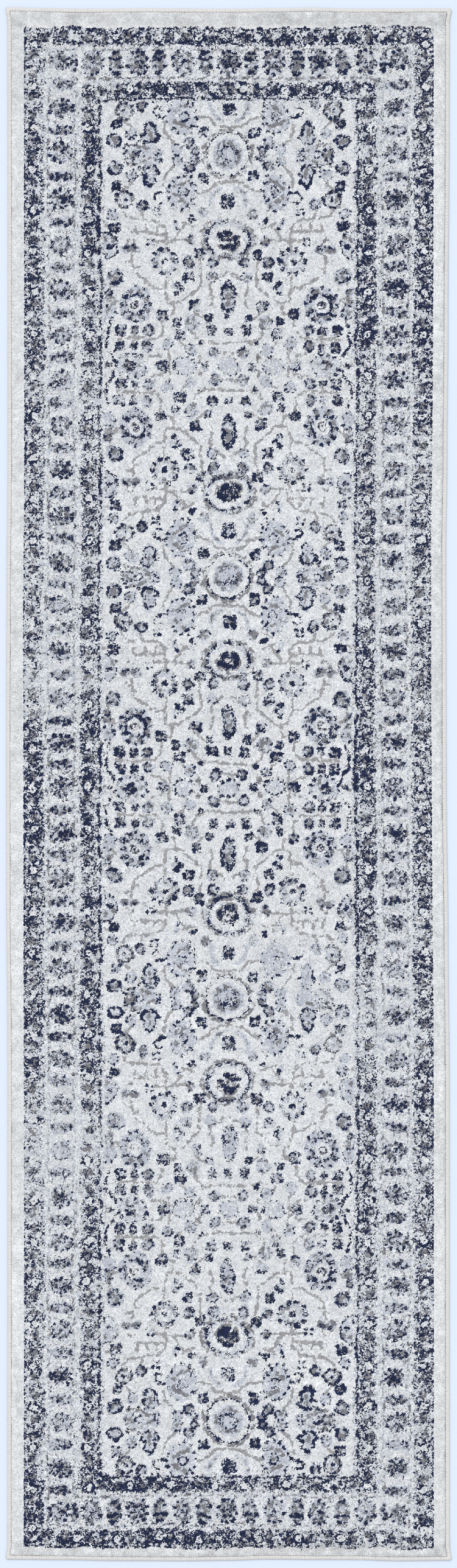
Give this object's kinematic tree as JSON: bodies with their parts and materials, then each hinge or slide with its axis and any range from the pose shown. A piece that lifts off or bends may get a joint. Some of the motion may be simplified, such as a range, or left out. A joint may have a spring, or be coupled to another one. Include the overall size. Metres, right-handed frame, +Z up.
{
  "type": "runner rug",
  "caption": "Long narrow machine-woven runner rug: cut pile over a woven ground with a latex back coat, serged along its edges.",
  "frame": {"origin": "middle of the underside, on the floor", "axes": "+Y along the rug's length towards its head end, +X across its width, +Z up out of the pile"},
  "size_m": [0.66, 2.3, 0.011],
  "materials": {
    "field_pile": "matt cut pile, ivory with silver, taupe and navy tufts",
    "guard_pile": "matt cut pile, navy and taupe tufts on ivory",
    "border_pile": "matt cut pile, ivory with taupe and navy motifs",
    "plain_pile": "matt cut pile, plain ivory",
    "jute_weft": "coarse natural jute yarn",
    "stuffer_yarn": "plain undyed yarn",
    "latex": "dull, thinly brushed over the weave",
    "serging_yarn": "soft satin yarn, ivory",
    "needle_thread": "fine matt thread, warm grey"
  },
  "bodies": {
    "root": {"latex_back_coat": "latex", "weft_shots_lower": "jute_weft", "stuffer_warps": "stuffer_yarn", "weft_shots_upper": "jute_weft", "pile_field": "field_pile", "pile_inner_guard_head": "guard_pile", "pile_inner_guard_foot": "guard_pile", "pile_inner_guard_left": "guard_pile", "pile_inner_guard_right": "guard_pile", "pile_main_border_head": "border_pile", "pile_main_border_foot": "border_pile", "pile_main_border_left": "border_pile", "pile_main_border_right": "border_pile", "pile_outer_guard_head": "guard_pile", "pile_outer_guard_foot": "guard_pile", "pile_outer_guard_left": "guard_pile", "pile_outer_guard_right": "guard_pile", "pile_plain_border_head": "plain_pile", "pile_plain_border_foot": "plain_pile", "pile_plain_border_left": "plain_pile", "pile_plain_border_right": "plain_pile", "serged_edge_head": "serging_yarn", "serged_edge_foot": "serging_yarn", "serged_edge_left": "serging_yarn", "serged_edge_right": "serging_yarn", "needle_thread_head": "needle_thread", "needle_thread_foot": "needle_thread", "needle_thread_left": "needle_thread", "needle_thread_right": "needle_thread"}
  },
  "joints": []
}
